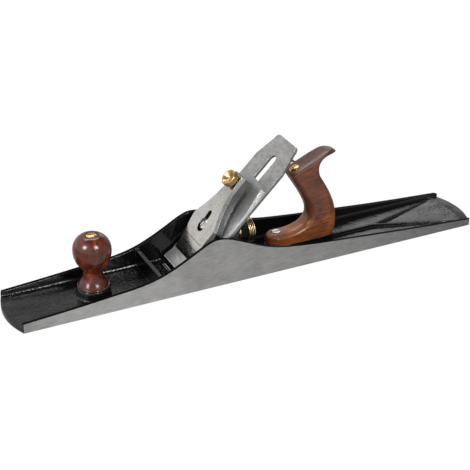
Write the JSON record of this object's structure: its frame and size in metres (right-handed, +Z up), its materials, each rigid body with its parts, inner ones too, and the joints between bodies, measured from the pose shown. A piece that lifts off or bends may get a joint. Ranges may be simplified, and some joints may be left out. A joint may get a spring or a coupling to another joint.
{
  "type": "jointer plane",
  "caption": "Metal jointer bench plane: long cast sole, sliding frog, bevel-down blade and cap iron under a screw-down lever cap, depth wheel, turned knob and shaped tote.",
  "frame": {"origin": "centre of the sole on its working face", "axes": "+X from toe to heel, +Y to the user's right-hand cheek seen from the toe, +Z up"},
  "size_m": [0.5599, 0.075, 0.1365],
  "materials": {
    "japanned_iron": "ground cheeks and sole, glossy black japanning inside",
    "black_enamel": "gloss black over cast iron",
    "steel": "turned and polished",
    "blade_steel": "ground along its length",
    "cap_steel": "polished",
    "nickel": "satin nickel plate",
    "brass": "turned, slightly aged",
    "knob_wood": "varnished rosewood",
    "tote_wood": "varnished rosewood, dark"
  },
  "bodies": {
    "plane_body": {"casting": "japanned_iron", "frog_screws": "steel", "frog_washers": "steel", "knob": "knob_wood", "knob_stud": "steel", "knob_nut": "brass", "tote": "tote_wood", "tote_rod": "steel", "tote_nut": "brass", "tote_toe_screw": "steel"},
    "frog": {"frog": "black_enamel", "frog_adjust_clip": "steel", "frog_clip_screw": "steel", "depth_stud": "steel", "yoke_pin": "steel", "lateral_rivet": "steel", "lever_cap_screw": "steel"},
    "adjust_screw": {"frog_adjust_screw": "steel"},
    "depth_wheel": {"depth_nut": "brass"},
    "yoke": {"yoke": "black_enamel"},
    "cap_iron": {"cap_iron": "cap_steel", "cap_iron_screw": "steel"},
    "blade": {"blade": "blade_steel"},
    "lateral_lever": {"lateral_lever": "steel", "lateral_roller": "steel"},
    "lever_cap": {"lever_cap": "nickel"},
    "thumb_screw": {"thumb_screw": "brass"}
  },
  "joints": [
    {"name": "frog_slide", "type": "slide", "parent": "plane_body", "child": "frog", "axis": [1, 0, 0], "range_m": [-0.0015, 0.0005]},
    {"name": "adjust_screw_turn", "type": "hinge", "parent": "frog", "child": "adjust_screw", "pos_m": [-0.03, 0, 0.0087], "axis": [1, 0, 0], "range_deg": [-426, 142]},
    {"name": "blade_depth", "type": "slide", "parent": "frog", "child": "cap_iron", "axis": [0.7071, 0, 0.7071], "range_m": [-0.0005, 0.0012]},
    {"name": "wheel_travel", "type": "slide", "parent": "frog", "child": "depth_wheel", "axis": [1, 0, 0], "range_m": [-0.0023, 0.001]},
    {"name": "yoke_tilt", "type": "hinge", "parent": "frog", "child": "yoke", "pos_m": [-0.01905, 0, 0.05802], "axis": [0, 1, 0], "range_deg": [-2.9, 6.9]},
    {"name": "blade_setback", "type": "slide", "parent": "cap_iron", "child": "blade", "axis": [0.7071, 0, 0.7071], "range_m": [-0.0005, 0.001]},
    {"name": "lateral_swing", "type": "hinge", "parent": "frog", "child": "lateral_lever", "pos_m": [-0.01081, 0, 0.07849], "axis": [-0.7071, 0, 0.7071], "range_deg": [-2.5, 2.5]},
    {"name": "lever_cap_unhook", "type": "slide", "parent": "frog", "child": "lever_cap", "axis": [0.7071, 0, 0.7071], "range_m": [0, 0.0032]},
    {"name": "thumb_screw_travel", "type": "slide", "parent": "lever_cap", "child": "thumb_screw", "axis": [-0.7071, 0, 0.7071], "range_m": [0, 0.003]}
  ],
  "couplings": [
    {"joint": "adjust_screw_turn", "follows": "frog_slide", "rad_per_m": 4947.4},
    {"joint": "wheel_travel", "follows": "blade_depth", "ratio": -1.874},
    {"joint": "yoke_tilt", "follows": "blade_depth", "rad_per_m": 98.5}
  ]
}
